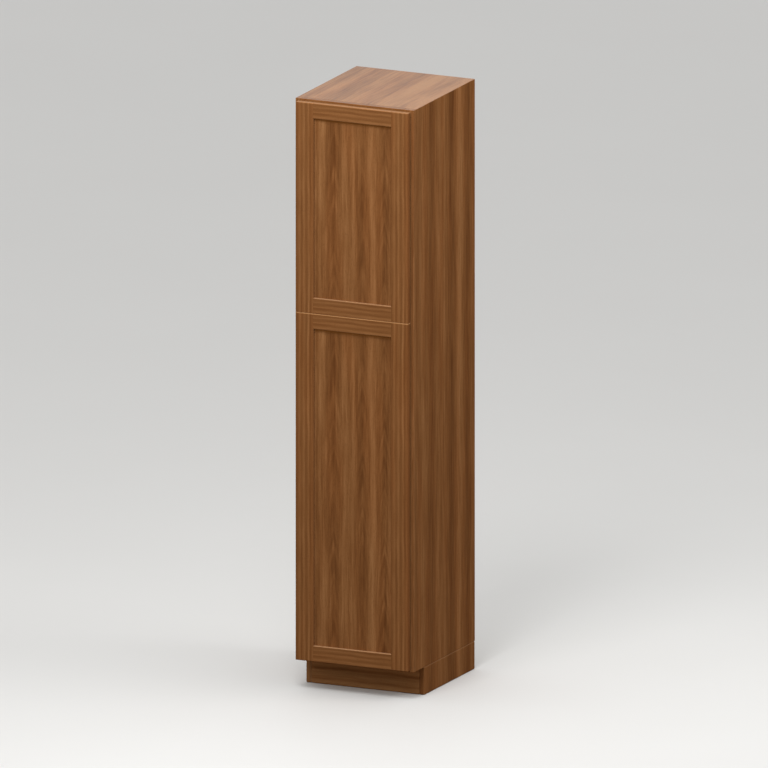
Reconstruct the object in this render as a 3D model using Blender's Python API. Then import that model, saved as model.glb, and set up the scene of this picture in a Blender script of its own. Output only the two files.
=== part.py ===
"""A tall linen cabinet with two framed doors, in metres, with +Z up.

The cabinet stands on the floor with the middle of its footprint at the origin, and its doors face -Y.
A box of panels with a face frame stands on a separate recessed base. Each door is made of five pieces
of wood and hangs at its left edge on concealed hinges, whose pins lie inside their cups.
"""

import math

import bmesh
import bpy
from mathutils import Matrix, Vector

# Clearances and edges
GAP = 0.0003                  # between pieces that touch
EDGE_EASE = 0.0008            # bevel along the edges of a board
OVERRUN = 0.001               # how far raw stock and cutting tools run past a finished face
MERGE_DISTANCE = 0.00001

# Box, base and face frame
CABINET_WIDTH = 0.4572
CABINET_HEIGHT = 2.1336
BOX_DEPTH = 0.51435           # from the front of the face frame to the rear of the back
BASE_HEIGHT = 0.1016
TOE_SETBACK = 0.0889          # from the front of the face frame to the toe kick
BASE_BOARD = 0.01905
BASE_EASE = 0.003             # bevel along the edges of the base boards
PANEL_THICKNESS = 0.0159      # end panels, top, deck and shelves
HOUSING_DEPTH = 0.00635       # how far the deck and the fixed shelf enter the end panels
BACK_THICKNESS = 0.00635
BACK_LAP = 0.0095             # how far the back laps onto each end panel
HANGING_RAIL_HEIGHT = 0.0762
HANGING_RAIL_THICKNESS = 0.01905
FRAME_THICKNESS = 0.01905
FRAME_WIDTH = 0.0381          # stiles and rails of the face frame

# Adjustable shelves and their pins
UPPER_SHELF_COUNT = 1
LOWER_SHELF_COUNT = 2
SHELF_END_CLEARANCE = 0.002
SHELF_FRONT_SETBACK = 0.012
SHELF_BACK_CLEARANCE = 0.004
PIN_ROW_INSET = 0.037         # from the front and the rear of the inside to the rows of holes
PIN_PITCH = 0.032
PIN_HOLES = 5                 # holes in a row for each shelf
PIN_SIDES = 12
PIN_RADIUS = 0.0025
PIN_PEG = 0.0095
PIN_COLLAR_RADIUS = 0.004
PIN_COLLAR = 0.0012
PIN_SEAT_RADIUS = 0.003
PIN_SEAT = 0.008

# Doors
DOOR_THICKNESS = 0.01905
DOOR_STANDOFF = 0.003         # between the face frame and the back of a closed door
DOOR_SIDE_REVEAL = 0.0127
DOOR_TOP_REVEAL = 0.0073
DOOR_BOTTOM_REVEAL = 0.007
DOOR_GAP = 0.0006
UPPER_DOOR_HEIGHT = 0.7602
DOOR_STILE = 0.0667
DOOR_RAIL = 0.0561
DOOR_SIDE_ROUND = 0.0018      # radius of the front edges at the sides of a door
DOOR_TOP_ROUND = 0.003        # radius of the front edge at the top of a door
DOOR_BOTTOM_EASE = 0.0005     # bevel of the front edge at the bottom of a door
DOOR_REAR_EASE = 0.0009       # bevel of the rear edges at the sides, which swing past the face frame
STICKING_BEVEL = 0.002        # bevel along the inner edges of the door frame
PANEL_RECESS = 0.009          # from the front of the door frame to the panel
DOOR_PANEL = 0.00635
GROOVE_DEPTH = 0.0095
PANEL_FLOAT = 0.001           # room for the panel to swell in its groove
BUMPER_RADIUS = 0.0045
BUMPER_INSET = 0.012
BUMPER_SIDES = 16

# Hinges
UPPER_HINGE_COUNT = 2
LOWER_HINGE_COUNT = 3
HINGE_END_DISTANCE = 0.095
CUP_RADIUS = 0.0173
CUP_DEPTH = 0.013
CUP_WALL = 0.001
CUP_SIDES = 24
CUP_EDGE = 0.003              # wood left between the bore and the edge of the door
RIM_HEIGHT = 0.0005
FLANGE_WIDTH = 0.025
FLANGE_HEIGHT = 0.056
FLANGE_THICKNESS = 0.001
FLANGE_CORNER = 0.006
PIVOT_TO_WALL = 0.0037
PIVOT_TO_FLOOR = 0.0035
HINGE_PIN_RADIUS = 0.0015
HINGE_PIN_SIDES = 12
HINGE_PIN_OVERHANG = 0.0009
LUG_THICKNESS = 0.0015
LUG_REACH = 0.003
LUG_CLEARANCE = 0.0006
ARM_WIDTH = 0.008
ARM_THICKNESS = 0.0026
ARM_EYE_RADIUS = 0.0028
ARM_ELBOW_RADIUS = 0.0035
ARM_CROOK_RADIUS = 0.0009
ARC_STEP = math.radians(22.5)
PLATE_HEIGHT = 0.045
PLATE_THICKNESS = 0.0018
PLATE_SETBACK = 0.0005        # from the faces of the frame stile to the edges of the plate
PLATE_CORNER = 0.005

# Planes from front to rear
OVERALL_DEPTH = BOX_DEPTH + DOOR_STANDOFF + DOOR_THICKNESS
DOOR_FRONT = -OVERALL_DEPTH / 2
DOOR_BACK = DOOR_FRONT + DOOR_THICKNESS
FRAME_FRONT = DOOR_BACK + DOOR_STANDOFF
FRAME_BACK = FRAME_FRONT + FRAME_THICKNESS
BOX_FRONT = FRAME_BACK + GAP
CABINET_BACK = OVERALL_DEPTH / 2
BACK_FRONT = CABINET_BACK - BACK_THICKNESS
TOE_FRONT = FRAME_FRONT + TOE_SETBACK

# Planes from the middle to the sides
HALF_WIDTH = CABINET_WIDTH / 2
INNER_WALL = HALF_WIDTH - PANEL_THICKNESS
FRAME_INNER = HALF_WIDTH - FRAME_WIDTH
DOOR_SIDE = HALF_WIDTH - DOOR_SIDE_REVEAL

# Levels from the floor up
BASE_TOP = BASE_HEIGHT - GAP
DECK_TOP = BASE_HEIGHT + FRAME_WIDTH
LOWER_DOOR_BOTTOM = BASE_HEIGHT + DOOR_BOTTOM_REVEAL
UPPER_DOOR_TOP = CABINET_HEIGHT - DOOR_TOP_REVEAL
UPPER_DOOR_BOTTOM = UPPER_DOOR_TOP - UPPER_DOOR_HEIGHT
LOWER_DOOR_TOP = UPPER_DOOR_BOTTOM - DOOR_GAP
MID_RAIL_TOP = UPPER_DOOR_BOTTOM - DOOR_GAP / 2 + FRAME_WIDTH / 2
TOP_UNDERSIDE = CABINET_HEIGHT - PANEL_THICKNESS
WALL_TOP = TOP_UNDERSIDE - GAP
MITRE_DROP = GAP * math.sqrt(2)  # of the end panels, which leaves the gap along the mitre

# Groove in the door frame, as depths from the back of the door
GROOVE_FRONT = DOOR_THICKNESS - PANEL_RECESS + GAP
GROOVE_BACK = DOOR_THICKNESS - PANEL_RECESS - DOOR_PANEL - GAP

# Hinge axis
CUP_INSET = CUP_EDGE + GAP + CUP_RADIUS
PIVOT_INSET = CUP_EDGE + GAP + CUP_WALL + PIVOT_TO_WALL
PIVOT_DEPTH = CUP_DEPTH - CUP_WALL - PIVOT_TO_FLOOR
PIVOT_X = -DOOR_SIDE + PIVOT_INSET
PIVOT_Y = DOOR_BACK - PIVOT_DEPTH
LUG_INNER = ARM_WIDTH / 2 + LUG_CLEARANCE
LUG_OUTER = LUG_INNER + LUG_THICKNESS


def clear_scene():
    """Remove whatever the scene holds."""
    for item in list(bpy.data.objects):
        bpy.data.objects.remove(item)


def finish(name, colour, roughness, metallic=0.0):
    """A plain material with one colour."""
    material = bpy.data.materials.new(name)
    material.use_nodes = True
    shader = material.node_tree.nodes["Principled BSDF"]
    shader.inputs["Base Color"].default_value = (*colour, 1.0)
    shader.inputs["Roughness"].default_value = roughness
    shader.inputs["Metallic"].default_value = metallic
    return material


def add_object(name, bm, material=None, location=(0, 0, 0)):
    """Put a finished body into the scene as one named piece."""
    mesh = bpy.data.meshes.new(name)
    bm.to_mesh(mesh)
    bm.free()
    if material:
        mesh.materials.append(material)
    piece = bpy.data.objects.new(name, mesh)
    piece.location = location
    bpy.context.scene.collection.objects.link(piece)
    return piece


def add_copy(name, mesh, location, parent=None):
    """Place one more piece that shares a mesh."""
    piece = bpy.data.objects.new(name, mesh)
    piece.location = location
    piece.parent = parent
    bpy.context.scene.collection.objects.link(piece)
    return piece


def add_tool(bm):
    """Put a body into the scene for use in a Boolean."""
    tool = add_object("tool", bm)
    tool.hide_render = True
    tool.display_type = "WIRE"
    return tool


def bake(piece):
    """Give the piece the mesh that its modifiers make."""
    graph = bpy.context.evaluated_depsgraph_get()
    mesh = bpy.data.meshes.new_from_object(piece.evaluated_get(graph))
    piece.modifiers.clear()
    piece.data = mesh


def combine(piece, operation, *tools):
    """Cut, join or trim a piece with each of the tools."""
    for tool in tools:
        modifier = piece.modifiers.new(operation.lower(), "BOOLEAN")
        modifier.operation = operation
        modifier.solver = "EXACT"
        modifier.object = tool
    bake(piece)


def discard(*tools):
    """Remove tools that have been used."""
    for tool in tools:
        bpy.data.objects.remove(tool)


def smooth(mesh):
    """Shade round faces smooth and keep the sharp edges."""
    mesh.shade_smooth()
    mesh.set_sharp_from_angle(angle=math.radians(40))


def bevel_edges(piece, width):
    """Ease all edges of a piece."""
    bevel = piece.modifiers.new("edges", "BEVEL")
    bevel.width = width


def box(bm, low, high):
    """Add a closed box between two corners."""
    low, high = Vector(low), Vector(high)
    place = Matrix.Translation((low + high) / 2) @ Matrix.Diagonal(high - low).to_4x4()
    bmesh.ops.create_cube(bm, size=1.0, matrix=place)
    return bm


def cylinder(bm, centre, radius, length, sides, axis):
    """Add a closed cylinder along a world axis."""
    turn = Vector((0, 0, 1)).rotation_difference(Vector(axis)).to_matrix().to_4x4()
    place = Matrix.Translation(centre) @ turn
    bmesh.ops.create_cone(bm, cap_ends=True, segments=sides, radius1=radius, radius2=radius, depth=length,
                          matrix=place)
    return bm


def turned(profile, sides, axis):
    """A closed body of revolution from (radius, height) points that start and end on the axis."""
    bm = bmesh.new()
    points = [bm.verts.new((radius, 0.0, height)) for radius, height in profile]
    edges = [bm.edges.new(pair) for pair in zip(points, points[1:])]
    bmesh.ops.spin(bm, geom=points + edges, axis=(0, 0, 1), cent=(0, 0, 0), angle=math.tau, steps=sides)
    bmesh.ops.remove_doubles(bm, verts=bm.verts, dist=MERGE_DISTANCE)
    turn = Vector((0, 0, 1)).rotation_difference(Vector(axis)).to_matrix()
    bmesh.ops.rotate(bm, cent=(0, 0, 0), matrix=turn, verts=bm.verts)
    bmesh.ops.recalc_face_normals(bm, faces=bm.faces)
    return bm


def prism(outline, run):
    """A closed body: a flat outline of 3D points carried along a straight run."""
    bm = bmesh.new()
    face = bm.faces.new([bm.verts.new(point) for point in outline])
    grown = bmesh.ops.extrude_face_region(bm, geom=[face])["geom"]
    moved = [item for item in grown if isinstance(item, bmesh.types.BMVert)]
    bmesh.ops.translate(bm, vec=run, verts=moved)
    bmesh.ops.recalc_face_normals(bm, faces=bm.faces)
    return bm


def arc(centre, radius, start, end):
    """Points along an arc, from one angle to another, both included."""
    steps = max(1, math.ceil(abs(end - start) / ARC_STEP))
    angles = [start + (end - start) * step / steps for step in range(steps + 1)]
    return [(centre[0] + radius * math.cos(angle), centre[1] + radius * math.sin(angle))
            for angle in angles]


def rounded_rectangle(width, height, corner):
    """Outline of a plate with round corners, centred on the origin."""
    across, up = width / 2 - corner, height / 2 - corner
    quarter = math.pi / 2
    centres = [(across, up), (-across, up), (-across, -up), (across, -up)]
    points = []
    for index, centre in enumerate(centres):
        points += arc(centre, corner, index * quarter, (index + 1) * quarter)
    return points


def board(name, low, high, material, ease=EDGE_EASE):
    """A rectangular board between two corners, with eased edges and its origin at its middle."""
    low, high = Vector(low), Vector(high)
    middle = (low + high) / 2
    piece = add_object(name, box(bmesh.new(), low - middle, high - middle), material, middle)
    bevel_edges(piece, ease)
    return piece


def mitred_board(name, section, material):
    """A board from a section of (across, level) points, carried from the front to the rear of the box.

    Its edges are eased, and its origin is at the first point of the section, in its front plane.
    """
    start = Vector((section[0][0], BOX_FRONT, section[0][1]))
    outline = [Vector((across, BOX_FRONT, level)) - start for across, level in section]
    piece = add_object(name, prism(outline, (0, CABINET_BACK - BOX_FRONT, 0)), material, start)
    bevel_edges(piece, EDGE_EASE)
    return piece


def shelf_levels(floor, ceiling, count):
    """Undersides of shelves that divide a compartment evenly."""
    return [floor + (ceiling - floor) * (index + 1) / (count + 1) for index in range(count)]


def pin_rows():
    """Places of the front and rear rows of shelf pins."""
    return (BOX_FRONT + PIN_ROW_INSET, BACK_FRONT - PIN_ROW_INSET)


def pin_level(shelf_underside):
    """Level of the pins that carry a shelf."""
    return shelf_underside - GAP - PIN_SEAT_RADIUS


def end_panel(name, side, housings, shelves, material):
    """A side of the box: mitred at its top, with housings for shelves, a rabbet for the back and pin holes."""
    inner, outer = side * INNER_WALL, side * HALF_WIDTH
    section = [(inner, BASE_HEIGHT), (outer, BASE_HEIGHT), (outer, CABINET_HEIGHT - MITRE_DROP),
               (inner, TOP_UNDERSIDE - MITRE_DROP)]
    piece = mitred_board(name, section, material)

    lap = sorted((side * (INNER_WALL - OVERRUN), side * (INNER_WALL + BACK_LAP)))
    rabbet = add_tool(box(bmesh.new(), (lap[0], BACK_FRONT - GAP, BASE_HEIGHT - OVERRUN),
                          (lap[1], CABINET_BACK + OVERRUN, TOP_UNDERSIDE)))

    slots = bmesh.new()
    entry = sorted((side * (INNER_WALL - OVERRUN), side * (INNER_WALL + HOUSING_DEPTH)))
    for level in housings:
        box(slots, (entry[0], BOX_FRONT - OVERRUN, level - PANEL_THICKNESS - GAP),
            (entry[1], CABINET_BACK + OVERRUN, level + GAP))

    bores = bmesh.new()
    depth = PIN_PEG + GAP
    for level in shelves:
        for row in pin_rows():
            for index in range(PIN_HOLES):
                height = pin_level(level) + (index - PIN_HOLES // 2) * PIN_PITCH
                middle = side * (INNER_WALL + (depth - OVERRUN) / 2)
                place = (middle, row, height)
                cylinder(bores, place, PIN_RADIUS + GAP, depth + OVERRUN, PIN_SIDES, (1, 0, 0))

    tools = (rabbet, add_tool(slots), add_tool(bores))
    combine(piece, "DIFFERENCE", *tools)
    discard(*tools)


def box_panels(wood, laminate):
    """Top, deck, fixed shelf, back and hanging rail."""
    mitred_board("top_panel", [(-INNER_WALL, TOP_UNDERSIDE), (INNER_WALL, TOP_UNDERSIDE),
                               (HALF_WIDTH, CABINET_HEIGHT), (-HALF_WIDTH, CABINET_HEIGHT)], wood)
    housed = INNER_WALL + HOUSING_DEPTH - GAP
    for name, level in (("bottom_panel", DECK_TOP), ("center_shelf", MID_RAIL_TOP)):
        low = (-housed, BOX_FRONT, level - PANEL_THICKNESS)
        board(name, low, (housed, BACK_FRONT - GAP, level), laminate)
    lapped = INNER_WALL + BACK_LAP - GAP
    board("back_panel", (-lapped, BACK_FRONT, BASE_HEIGHT), (lapped, CABINET_BACK, WALL_TOP), laminate)
    rail_back = BACK_FRONT - GAP
    low = (-INNER_WALL + GAP, rail_back - HANGING_RAIL_THICKNESS, WALL_TOP - HANGING_RAIL_HEIGHT)
    board("hanging_rail", low, (INNER_WALL - GAP, rail_back, WALL_TOP), laminate)


def face_frame(wood):
    """Full-height stiles, with three rails between them."""
    for name, low, high in (("left", -HALF_WIDTH, -FRAME_INNER), ("right", FRAME_INNER, HALF_WIDTH)):
        board(f"frame_{name}_stile", (low, FRAME_FRONT, BASE_HEIGHT), (high, FRAME_BACK, CABINET_HEIGHT),
              wood)
    reach = FRAME_INNER - GAP
    for name, level in (("top", CABINET_HEIGHT), ("mid", MID_RAIL_TOP), ("bottom", DECK_TOP)):
        board(f"frame_{name}_rail", (-reach, FRAME_FRONT, level - FRAME_WIDTH), (reach, FRAME_BACK, level),
              wood)


def base(wood):
    """Recessed base: two sides, a toe kick between their front ends and a rail between their rear ends."""
    inner = HALF_WIDTH - BASE_BOARD
    for name, low, high in (("left", -HALF_WIDTH, -inner), ("right", inner, HALF_WIDTH)):
        board(f"base_{name}_side", (low, TOE_FRONT, 0), (high, CABINET_BACK, BASE_TOP), wood, BASE_EASE)
    for name, front in (("toe_kick_board", TOE_FRONT), ("base_rear_rail", CABINET_BACK - BASE_BOARD)):
        board(name, (GAP - inner, front, 0), (inner - GAP, front + BASE_BOARD, BASE_TOP), wood, BASE_EASE)


def shelf_pin(metal):
    """Mesh of one shelf pin along +X: peg in the wall, collar at its face and seat under the shelf."""
    collar_end = GAP + PIN_COLLAR
    seat_end = collar_end + PIN_SEAT
    profile = [(0, -PIN_PEG), (PIN_RADIUS, -PIN_PEG), (PIN_RADIUS, GAP), (PIN_COLLAR_RADIUS, GAP),
               (PIN_COLLAR_RADIUS, collar_end), (PIN_SEAT_RADIUS, collar_end), (PIN_SEAT_RADIUS, seat_end),
               (0, seat_end)]
    pin = add_object("pin", turned(profile, PIN_SIDES, (1, 0, 0)), metal)
    mesh = pin.data
    discard(pin)
    smooth(mesh)
    return mesh


def adjustable_shelf(name, underside, pin, material):
    """A loose shelf and the four pins that carry it."""
    reach = INNER_WALL - SHELF_END_CLEARANCE
    board(name, (-reach, FRAME_BACK + SHELF_FRONT_SETBACK, underside),
          (reach, BACK_FRONT - SHELF_BACK_CLEARANCE, underside + PANEL_THICKNESS), material)
    for row_name, row in zip(("front", "rear"), pin_rows()):
        for side_name, side in (("left", 1), ("right", -1)):
            place = (-side * INNER_WALL, row, pin_level(underside))
            copy = add_copy(f"{name}_pin_{side_name}_{row_name}", pin, place)
            copy.rotation_euler = (0, 0, 0 if side > 0 else math.pi)


def hinge_cup(metal):
    """Mesh of one hinge cup, from its pin: a pressed cup with a flange and two lugs that hold the pin."""
    centre = CUP_INSET - PIVOT_INSET
    floor = -PIVOT_TO_FLOOR
    inner = CUP_RADIUS - CUP_WALL
    rim = PIVOT_DEPTH + RIM_HEIGHT
    profile = [(0, floor - CUP_WALL), (CUP_RADIUS, floor - CUP_WALL), (CUP_RADIUS, rim), (inner, rim),
               (inner, floor), (0, floor)]
    shell = turned(profile, CUP_SIDES, (0, 1, 0))
    bmesh.ops.translate(shell, vec=(centre, 0, 0), verts=shell.verts)
    cup = add_object("cup", shell, metal)

    plate = rounded_rectangle(FLANGE_WIDTH, FLANGE_HEIGHT, FLANGE_CORNER)
    outline = [(centre + across, PIVOT_DEPTH + GAP, up) for across, up in plate]
    flange = add_tool(prism(outline, (0, FLANGE_THICKNESS, 0)))
    mouth = add_tool(cylinder(bmesh.new(), (centre, PIVOT_DEPTH, 0), CUP_RADIUS - CUP_WALL / 2,
                              2 * CUP_DEPTH, CUP_SIDES, (0, 1, 0)))
    combine(flange, "DIFFERENCE", mouth)

    lugs = bmesh.new()
    for low, high in ((-LUG_OUTER, -LUG_INNER), (LUG_INNER, LUG_OUTER)):
        box(lugs, (-LUG_REACH, floor - CUP_WALL / 2, low), (LUG_REACH, LUG_REACH, high))
    lugs = add_tool(lugs)
    combine(cup, "UNION", flange, lugs)

    hole = add_tool(cylinder(bmesh.new(), (0, 0, 0), HINGE_PIN_RADIUS + GAP, 2 * (LUG_OUTER + GAP),
                             HINGE_PIN_SIDES, (0, 0, 1)))
    combine(cup, "DIFFERENCE", hole)
    mesh = cup.data
    discard(cup, flange, mouth, lugs, hole)
    smooth(mesh)
    return mesh


def hinge_arm(metal):
    """Mesh of one hinge arm, from its pin: a gooseneck with an eye, on a plate for the frame stile."""
    leg = (-FRAME_INNER + GAP) - PIVOT_X
    leg_far = leg + ARM_THICKNESS
    plate_front = FRAME_FRONT + PLATE_SETBACK - PIVOT_Y
    plate_back = FRAME_BACK - PLATE_SETBACK - PIVOT_Y
    quarter = math.pi / 2

    eye = arc((0, 0), ARM_EYE_RADIUS, 0, math.tau + math.asin(-ARM_THICKNESS / ARM_EYE_RADIUS))
    elbow_centre = (leg_far - ARM_ELBOW_RADIUS, ARM_ELBOW_RADIUS - ARM_THICKNESS)
    elbow = arc(elbow_centre, ARM_ELBOW_RADIUS, -quarter, 0)
    crook = arc((leg - ARM_CROOK_RADIUS, ARM_CROOK_RADIUS), ARM_CROOK_RADIUS, 0, -quarter)
    outline = eye + elbow + [(leg_far, plate_back), (leg, plate_back)] + crook
    arm = add_object("arm", prism([(x, y, -ARM_WIDTH / 2) for x, y in outline], (0, 0, ARM_WIDTH)), metal)

    plate = rounded_rectangle(plate_back - plate_front, PLATE_HEIGHT, PLATE_CORNER)
    middle = (plate_front + plate_back) / 2
    plate = add_tool(prism([(leg, middle + along, up) for along, up in plate], (PLATE_THICKNESS, 0, 0)))
    hole = add_tool(cylinder(bmesh.new(), (0, 0, 0), HINGE_PIN_RADIUS + GAP, 2 * ARM_WIDTH, HINGE_PIN_SIDES,
                             (0, 0, 1)))
    combine(arm, "UNION", plate)
    combine(arm, "DIFFERENCE", hole)
    mesh = arm.data
    discard(arm, plate, hole)
    smooth(mesh)
    return mesh


def hinge_pin(metal):
    """Mesh of one hinge pin, through both lugs and the eye of the arm."""
    half = LUG_OUTER + HINGE_PIN_OVERHANG
    profile = [(0, half), (HINGE_PIN_RADIUS, half), (HINGE_PIN_RADIUS, -half), (0, -half)]
    pin = add_object("pin", turned(profile, HINGE_PIN_SIDES, (0, 0, 1)), metal)
    mesh = pin.data
    discard(pin)
    smooth(mesh)
    return mesh


def bumper(rubber):
    """Mesh of one stick-on bumper, a low dome that points to the rear."""
    height = DOOR_STANDOFF - 2 * GAP
    crown = arc((BUMPER_RADIUS - height / 2, height / 2), height / 2, 0, math.pi / 2)
    profile = [(0, 0), (BUMPER_RADIUS, 0)] + crown + [(0, height)]
    dome = add_object("dome", turned(profile, BUMPER_SIDES, (0, 1, 0)), rubber)
    mesh = dome.data
    discard(dome)
    smooth(mesh)
    return mesh


def stick_section(width, grow=0.0):
    """Section of a door stile or rail as (across, depth) points, from its outer edge to its inner one.

    The outer sides run past the blanks of the door, which trim them. The inner side has a bevel that
    faces the front and a groove for the panel, and it grows by a clearance for a coping cut.
    """
    inner = width + grow
    groove = width - GROOVE_DEPTH + grow
    lip = GROOVE_BACK + grow
    cheek = GROOVE_FRONT - grow
    front = DOOR_THICKNESS + OVERRUN
    slope = width + DOOR_THICKNESS - STICKING_BEVEL + grow * math.sqrt(2)
    return [(-OVERRUN, -OVERRUN), (inner, -OVERRUN), (inner, lip), (groove, lip), (groove, cheek),
            (inner, cheek), (inner, slope - inner), (slope - front, front), (-OVERRUN, front)]


def stile_body(side, bottom, top, grow=0.0):
    """Raw stock of a door stile, upright at one side of the door."""
    outline = [(side * (DOOR_SIDE - across), DOOR_BACK - depth, bottom - OVERRUN)
               for across, depth in stick_section(DOOR_STILE, grow)]
    return prism(outline, (0, 0, top - bottom + 2 * OVERRUN))


def rail_body(edge, inward):
    """Raw stock of a door rail, level at the top or the bottom of the door."""
    reach = DOOR_SIDE - DOOR_STILE + GROOVE_DEPTH + OVERRUN
    outline = [(-reach, DOOR_BACK - depth, edge + inward * across)
               for across, depth in stick_section(DOOR_RAIL)]
    return prism(outline, (2 * reach, 0, 0))


def door_blanks(bottom, top):
    """Two bodies that trim the stiles and rails to the outline of the door and to its eased edges.

    The first is the door's section from front to rear, carried across it. The second is its plan, carried
    up it. The door is what they have in common.
    """
    half = math.pi
    quarter = half / 2
    brow = arc((DOOR_FRONT + DOOR_TOP_ROUND, top - DOOR_TOP_ROUND), DOOR_TOP_ROUND, quarter, half)
    toe = [(DOOR_FRONT, bottom + DOOR_BOTTOM_EASE), (DOOR_FRONT + DOOR_BOTTOM_EASE, bottom)]
    section = [(DOOR_BACK, bottom), (DOOR_BACK, top)] + brow + toe
    across = prism([(-DOOR_SIDE - OVERRUN, y, z) for y, z in section], (2 * (DOOR_SIDE + OVERRUN), 0, 0))

    inset = DOOR_SIDE - DOOR_SIDE_ROUND
    depth = DOOR_FRONT + DOOR_SIDE_ROUND
    left = arc((-inset, depth), DOOR_SIDE_ROUND, half, half + quarter)
    right = arc((inset, depth), DOOR_SIDE_ROUND, half + quarter, 2 * half)
    heel = DOOR_SIDE - DOOR_REAR_EASE - OVERRUN
    rear = [(DOOR_SIDE, DOOR_BACK - DOOR_REAR_EASE), (heel, DOOR_BACK + OVERRUN),
            (-heel, DOOR_BACK + OVERRUN), (-DOOR_SIDE, DOOR_BACK - DOOR_REAR_EASE)]
    plan = left + right + rear
    upward = prism([(x, y, bottom - OVERRUN) for x, y in plan], (0, 0, top - bottom + 2 * OVERRUN))
    return add_tool(across), add_tool(upward)


def cup_bores(levels):
    """Bores for the hinge cups in the back of a door."""
    depth = CUP_DEPTH + GAP
    bores = bmesh.new()
    for level in levels:
        middle = (CUP_INSET - DOOR_SIDE, DOOR_BACK - (depth - OVERRUN) / 2, level)
        cylinder(bores, middle, CUP_RADIUS + GAP, depth + OVERRUN, CUP_SIDES, (0, 1, 0))
    return add_tool(bores)


def hang(piece, axis):
    """Carry a door piece on the hinge axis, with its origin there."""
    piece.data.transform(Matrix.Translation(-axis.location))
    piece.location = (0, 0, 0)
    piece.parent = axis


def door_wood(name, bottom, top, levels, axis, wood):
    """The five wooden pieces of a door: two stiles, two coped rails and a flat panel in their grooves."""
    blanks = door_blanks(bottom, top)
    bores = cup_bores(levels)
    left = add_object(f"{name}_left_stile", stile_body(-1, bottom, top), wood)
    combine(left, "INTERSECT", *blanks)
    combine(left, "DIFFERENCE", bores)
    right = add_object(f"{name}_right_stile", stile_body(1, bottom, top), wood)
    combine(right, "INTERSECT", *blanks)

    copes = [add_tool(stile_body(side, bottom, top, GAP)) for side in (-1, 1)]
    rails = []
    for rail_name, edge, inward in (("top", top, -1), ("bottom", bottom, 1)):
        rail = add_object(f"{name}_{rail_name}_rail", rail_body(edge, inward), wood)
        combine(rail, "INTERSECT", *blanks)
        combine(rail, "DIFFERENCE", *copes)
        rails.append(rail)

    reach = DOOR_SIDE - DOOR_STILE + GROOVE_DEPTH - PANEL_FLOAT
    trim = DOOR_RAIL - GROOVE_DEPTH + PANEL_FLOAT
    panel_front = DOOR_FRONT + PANEL_RECESS
    panel = add_object(f"{name}_panel", box(bmesh.new(), (-reach, panel_front, bottom + trim),
                                            (reach, panel_front + DOOR_PANEL, top - trim)), wood)
    discard(*blanks, bores, *copes)
    for piece in (left, right, panel, *rails):
        hang(piece, axis)


def door(name, bottom, top, hinge_count, meshes, wood):
    """A door with its hinges and bumpers, on an empty that stands on the hinge axis."""
    axis = bpy.data.objects.new(f"{name}_axis", None)
    axis.location = (PIVOT_X, PIVOT_Y, bottom)
    bpy.context.scene.collection.objects.link(axis)

    span = top - bottom - 2 * HINGE_END_DISTANCE
    heights = [HINGE_END_DISTANCE + span * index / (hinge_count - 1) for index in range(hinge_count)]
    door_wood(name, bottom, top, [bottom + height for height in heights], axis, wood)
    for number, height in enumerate(heights, 1):
        add_copy(f"{name}_hinge_cup_{number}", meshes["cup"], (0, 0, height), axis)
        add_copy(f"{name}_hinge_pin_{number}", meshes["pin"], (0, 0, height), axis)
        add_copy(f"{name}_hinge_arm_{number}", meshes["arm"], (PIVOT_X, PIVOT_Y, bottom + height))

    across = DOOR_SIDE - BUMPER_INSET - PIVOT_X
    for end_name, height in (("bottom", BUMPER_INSET), ("top", top - bottom - BUMPER_INSET)):
        add_copy(f"{name}_bumper_{end_name}", meshes["bumper"], (across, PIVOT_DEPTH + GAP, height), axis)


def main():
    """Build the whole cabinet."""
    clear_scene()
    wood = finish("stained_wood", (0.22, 0.095, 0.033), 0.45)
    laminate = finish("interior_laminate", (0.62, 0.45, 0.28), 0.5)
    metal = finish("nickel_steel", (0.56, 0.55, 0.53), 0.3, 1.0)
    rubber = finish("bumper_rubber", (0.75, 0.75, 0.72), 0.4)

    upper_shelves = shelf_levels(MID_RAIL_TOP, TOP_UNDERSIDE, UPPER_SHELF_COUNT)
    lower_shelves = shelf_levels(DECK_TOP, MID_RAIL_TOP - PANEL_THICKNESS, LOWER_SHELF_COUNT)
    housings = (DECK_TOP, MID_RAIL_TOP)
    end_panel("left_end_panel", -1, housings, lower_shelves + upper_shelves, wood)
    end_panel("right_end_panel", 1, housings, lower_shelves + upper_shelves, wood)
    box_panels(wood, laminate)
    face_frame(wood)
    base(wood)

    pin = shelf_pin(metal)
    for group, levels in (("lower", lower_shelves), ("upper", upper_shelves)):
        for number, level in enumerate(levels, 1):
            adjustable_shelf(f"{group}_shelf_{number}", level, pin, laminate)

    meshes = {"cup": hinge_cup(metal), "pin": hinge_pin(metal), "arm": hinge_arm(metal),
              "bumper": bumper(rubber)}
    door("upper_door", UPPER_DOOR_BOTTOM, UPPER_DOOR_TOP, UPPER_HINGE_COUNT, meshes, wood)
    door("lower_door", LOWER_DOOR_BOTTOM, LOWER_DOOR_TOP, LOWER_HINGE_COUNT, meshes, wood)


main()
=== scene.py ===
"""Looks of a tall linen cabinet: stained boards, pale laminate inside, plated hardware, stage and camera."""

import math
from collections import namedtuple

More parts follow.
